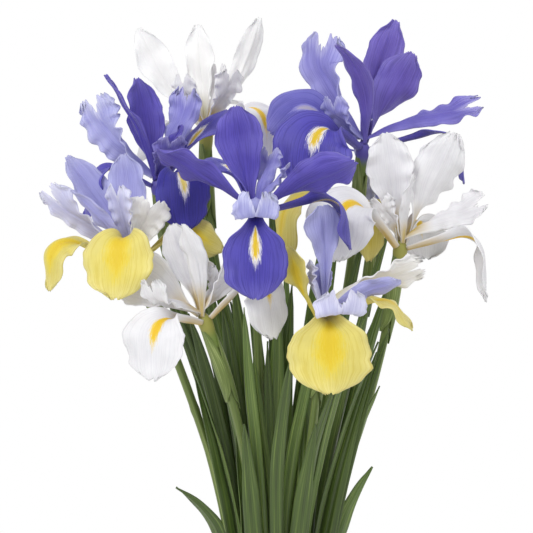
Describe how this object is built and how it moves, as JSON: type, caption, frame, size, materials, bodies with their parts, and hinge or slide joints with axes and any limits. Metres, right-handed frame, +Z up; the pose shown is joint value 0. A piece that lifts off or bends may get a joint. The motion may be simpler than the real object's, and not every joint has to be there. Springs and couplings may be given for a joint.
{
  "type": "irises_in_vase",
  "caption": "Cut Dutch irises in blue, white and lilac with yellow falls, loosely bunched with strap-like green leaves in a plain turned ceramic vase.",
  "frame": {"origin": "the middle of the vase's foot, on the surface it stands on", "axes": "+Z up the arrangement, +X its right-hand side seen from the front, -Y its front, where the lowest blooms lean out"},
  "size_m": [0.2206, 0.1858, 0.4581],
  "materials": {
    "vase_glaze": "gloss",
    "stem_green": "satin",
    "leaf_green": "satin",
    "blue_falls": "matte",
    "blue_standards": "matte",
    "blue_style_arms": "matte",
    "white_falls": "matte",
    "white_standards": "matte",
    "white_style_arms": "matte",
    "lilac_falls": "matte",
    "lilac_standards": "matte",
    "lilac_style_arms": "matte"
  },
  "bodies": {
    "root": {"vase": "vase_glaze", "blue_centre_falls": "blue_falls", "blue_centre_leaf_1": "leaf_green", "blue_centre_leaf_2": "leaf_green", "blue_centre_leaf_3": "leaf_green", "blue_centre_standards": "blue_standards", "blue_centre_stem": "stem_green", "blue_centre_style_arms": "blue_style_arms", "blue_left_falls": "blue_falls", "blue_left_leaf_1": "leaf_green", "blue_left_leaf_2": "leaf_green", "blue_left_standards": "blue_standards", "blue_left_stem": "stem_green", "blue_left_style_arms": "blue_style_arms", "blue_right_falls": "blue_falls", "blue_right_leaf_1": "leaf_green", "blue_right_leaf_2": "leaf_green", "blue_right_leaf_3": "leaf_green", "blue_right_standards": "blue_standards", "blue_right_stem": "stem_green", "blue_right_style_arms": "blue_style_arms", "lilac_back_falls": "lilac_falls", "lilac_back_leaf_1": "leaf_green", "lilac_back_standards": "lilac_standards", "lilac_back_stem": "stem_green", "lilac_back_style_arms": "lilac_style_arms", "lilac_front_falls": "lilac_falls", "lilac_front_leaf_1": "leaf_green", "lilac_front_leaf_2": "leaf_green", "lilac_front_standards": "lilac_standards", "lilac_front_stem": "stem_green", "lilac_front_style_arms": "lilac_style_arms", "lilac_left_falls": "lilac_falls", "lilac_left_leaf_1": "leaf_green", "lilac_left_leaf_2": "leaf_green", "lilac_left_standards": "lilac_standards", "lilac_left_stem": "stem_green", "lilac_left_style_arms": "lilac_style_arms", "white_back_falls": "white_falls", "white_back_leaf_1": "leaf_green", "white_back_leaf_2": "leaf_green", "white_back_leaf_3": "leaf_green", "white_back_standards": "white_standards", "white_back_stem": "stem_green", "white_back_style_arms": "white_style_arms", "white_front_falls": "white_falls", "white_front_leaf_1": "leaf_green", "white_front_leaf_2": "leaf_green", "white_front_standards": "white_standards", "white_front_stem": "stem_green", "white_front_style_arms": "white_style_arms", "white_right_falls": "white_falls", "white_right_leaf_1": "leaf_green", "white_right_leaf_2": "leaf_green", "white_right_leaf_3": "leaf_green", "white_right_standards": "white_standards", "white_right_stem": "stem_green", "white_right_style_arms": "white_style_arms"}
  },
  "joints": []
}
